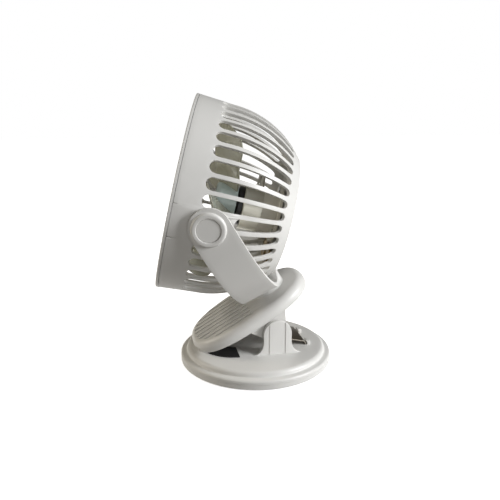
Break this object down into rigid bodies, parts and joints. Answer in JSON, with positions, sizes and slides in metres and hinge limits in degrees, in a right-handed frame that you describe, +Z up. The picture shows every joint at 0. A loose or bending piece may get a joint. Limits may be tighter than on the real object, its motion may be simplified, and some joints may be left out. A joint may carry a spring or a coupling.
{
  "type": "clip fan",
  "caption": "Small fan with a slotted round cage in a tilting U yoke that swivels on a sprung rubber-lined clip with a round weighted base",
  "frame": {"origin": "centre of the base's underside, on the floor plane under the rubber feet", "axes": "+Z up, the clip's mouth opens towards -Y, the clip hinges about X; the fan head blows towards -Y and slightly up in the modelled pose"},
  "size_m": [0.1538, 0.139, 0.206],
  "materials": {
    "white_abs": "fine satin",
    "pale_abs": "satin",
    "tinted_styrene": "glossy, translucent blue-grey",
    "black_rubber": "matte",
    "black_acetal": "satin",
    "ballast_iron": "rough",
    "zinc_steel": "zinc plated",
    "bright_steel": "ground",
    "spring_steel": "hardened strip, dark",
    "motor_steel": "pressed sheet",
    "ferrite": "sintered",
    "brass": "turned",
    "lead_insulation": "smooth, pale grey",
    "board_laminate": "solder mask"
  },
  "bodies": {
    "base": {"base_lower_shell": "white_abs", "base_top_cover": "white_abs", "base_ballast": "ballast_iron", "rubber_feet": "black_rubber", "base_screws": "zinc_steel", "base_grip_pad": "black_rubber", "hinge_pin": "bright_steel", "clamp_spring": "spring_steel"},
    "clamp": {"jaw_top_shell": "white_abs", "jaw_lower_plate": "white_abs", "jaw_grip_pad": "black_rubber", "jaw_screws": "zinc_steel", "swivel_washer": "black_acetal", "swivel_bolt": "zinc_steel", "swivel_nut": "zinc_steel"},
    "yoke_arm": {"yoke": "white_abs", "pivot_caps": "white_abs"},
    "head": {"rear_housing": "white_abs", "front_grille": "white_abs", "front_centre_cap": "white_abs", "cage_screws": "zinc_steel", "pivot_washers": "black_acetal", "pivot_inserts": "brass", "pivot_screws": "zinc_steel", "motor_mount": "pale_abs", "mount_screws": "zinc_steel", "motor_can": "motor_steel", "motor_cover": "motor_steel", "motor_end_cap": "black_acetal", "motor_bearings": "brass", "motor_magnets": "ferrite", "motor_screws": "zinc_steel", "lead_grommet": "pale_abs", "motor_leads": "lead_insulation", "circuit_board": "board_laminate", "tact_switch": "black_acetal", "usb_socket": "bright_steel"},
    "rotor": {"fan_blades": "tinted_styrene", "motor_shaft": "bright_steel", "armature": "motor_steel"},
    "button": {"power_button": "pale_abs"}
  },
  "joints": [
    {"name": "clamp_jaw", "type": "hinge", "parent": "base", "child": "clamp", "pos_m": [0, 0.0115, 0.0282], "axis": [-1, 0, 0], "range_deg": [0, 40], "stiffness_Nm_per_rad": 0.8, "springref_deg": -40.11, "deforming": ["clamp_spring"]},
    {"name": "yoke_swivel", "type": "hinge", "parent": "clamp", "child": "yoke_arm", "pos_m": [0, 0.00952, 0.05737], "axis": [0, -0.5075, 0.8616], "range_deg": [-180, 180]},
    {"name": "head_tilt", "type": "hinge", "parent": "yoke_arm", "child": "head", "pos_m": [0, -0.03311, 0.12974], "axis": [-0.9781, 0.1791, 0.1055], "range_deg": [-40, 110]},
    {"name": "blade_spin", "type": "hinge", "parent": "head", "child": "rotor", "pos_m": [0, -0.03311, 0.12974], "axis": [-0.1508, -0.9607, 0.233], "continuous": true},
    {"name": "power_button_press", "type": "slide", "parent": "head", "child": "button", "axis": [-0.1508, -0.9607, 0.233], "range_m": [0, 0.0005], "stiffness_N_per_m": 1500, "springref_m": -0.0005}
  ]
}
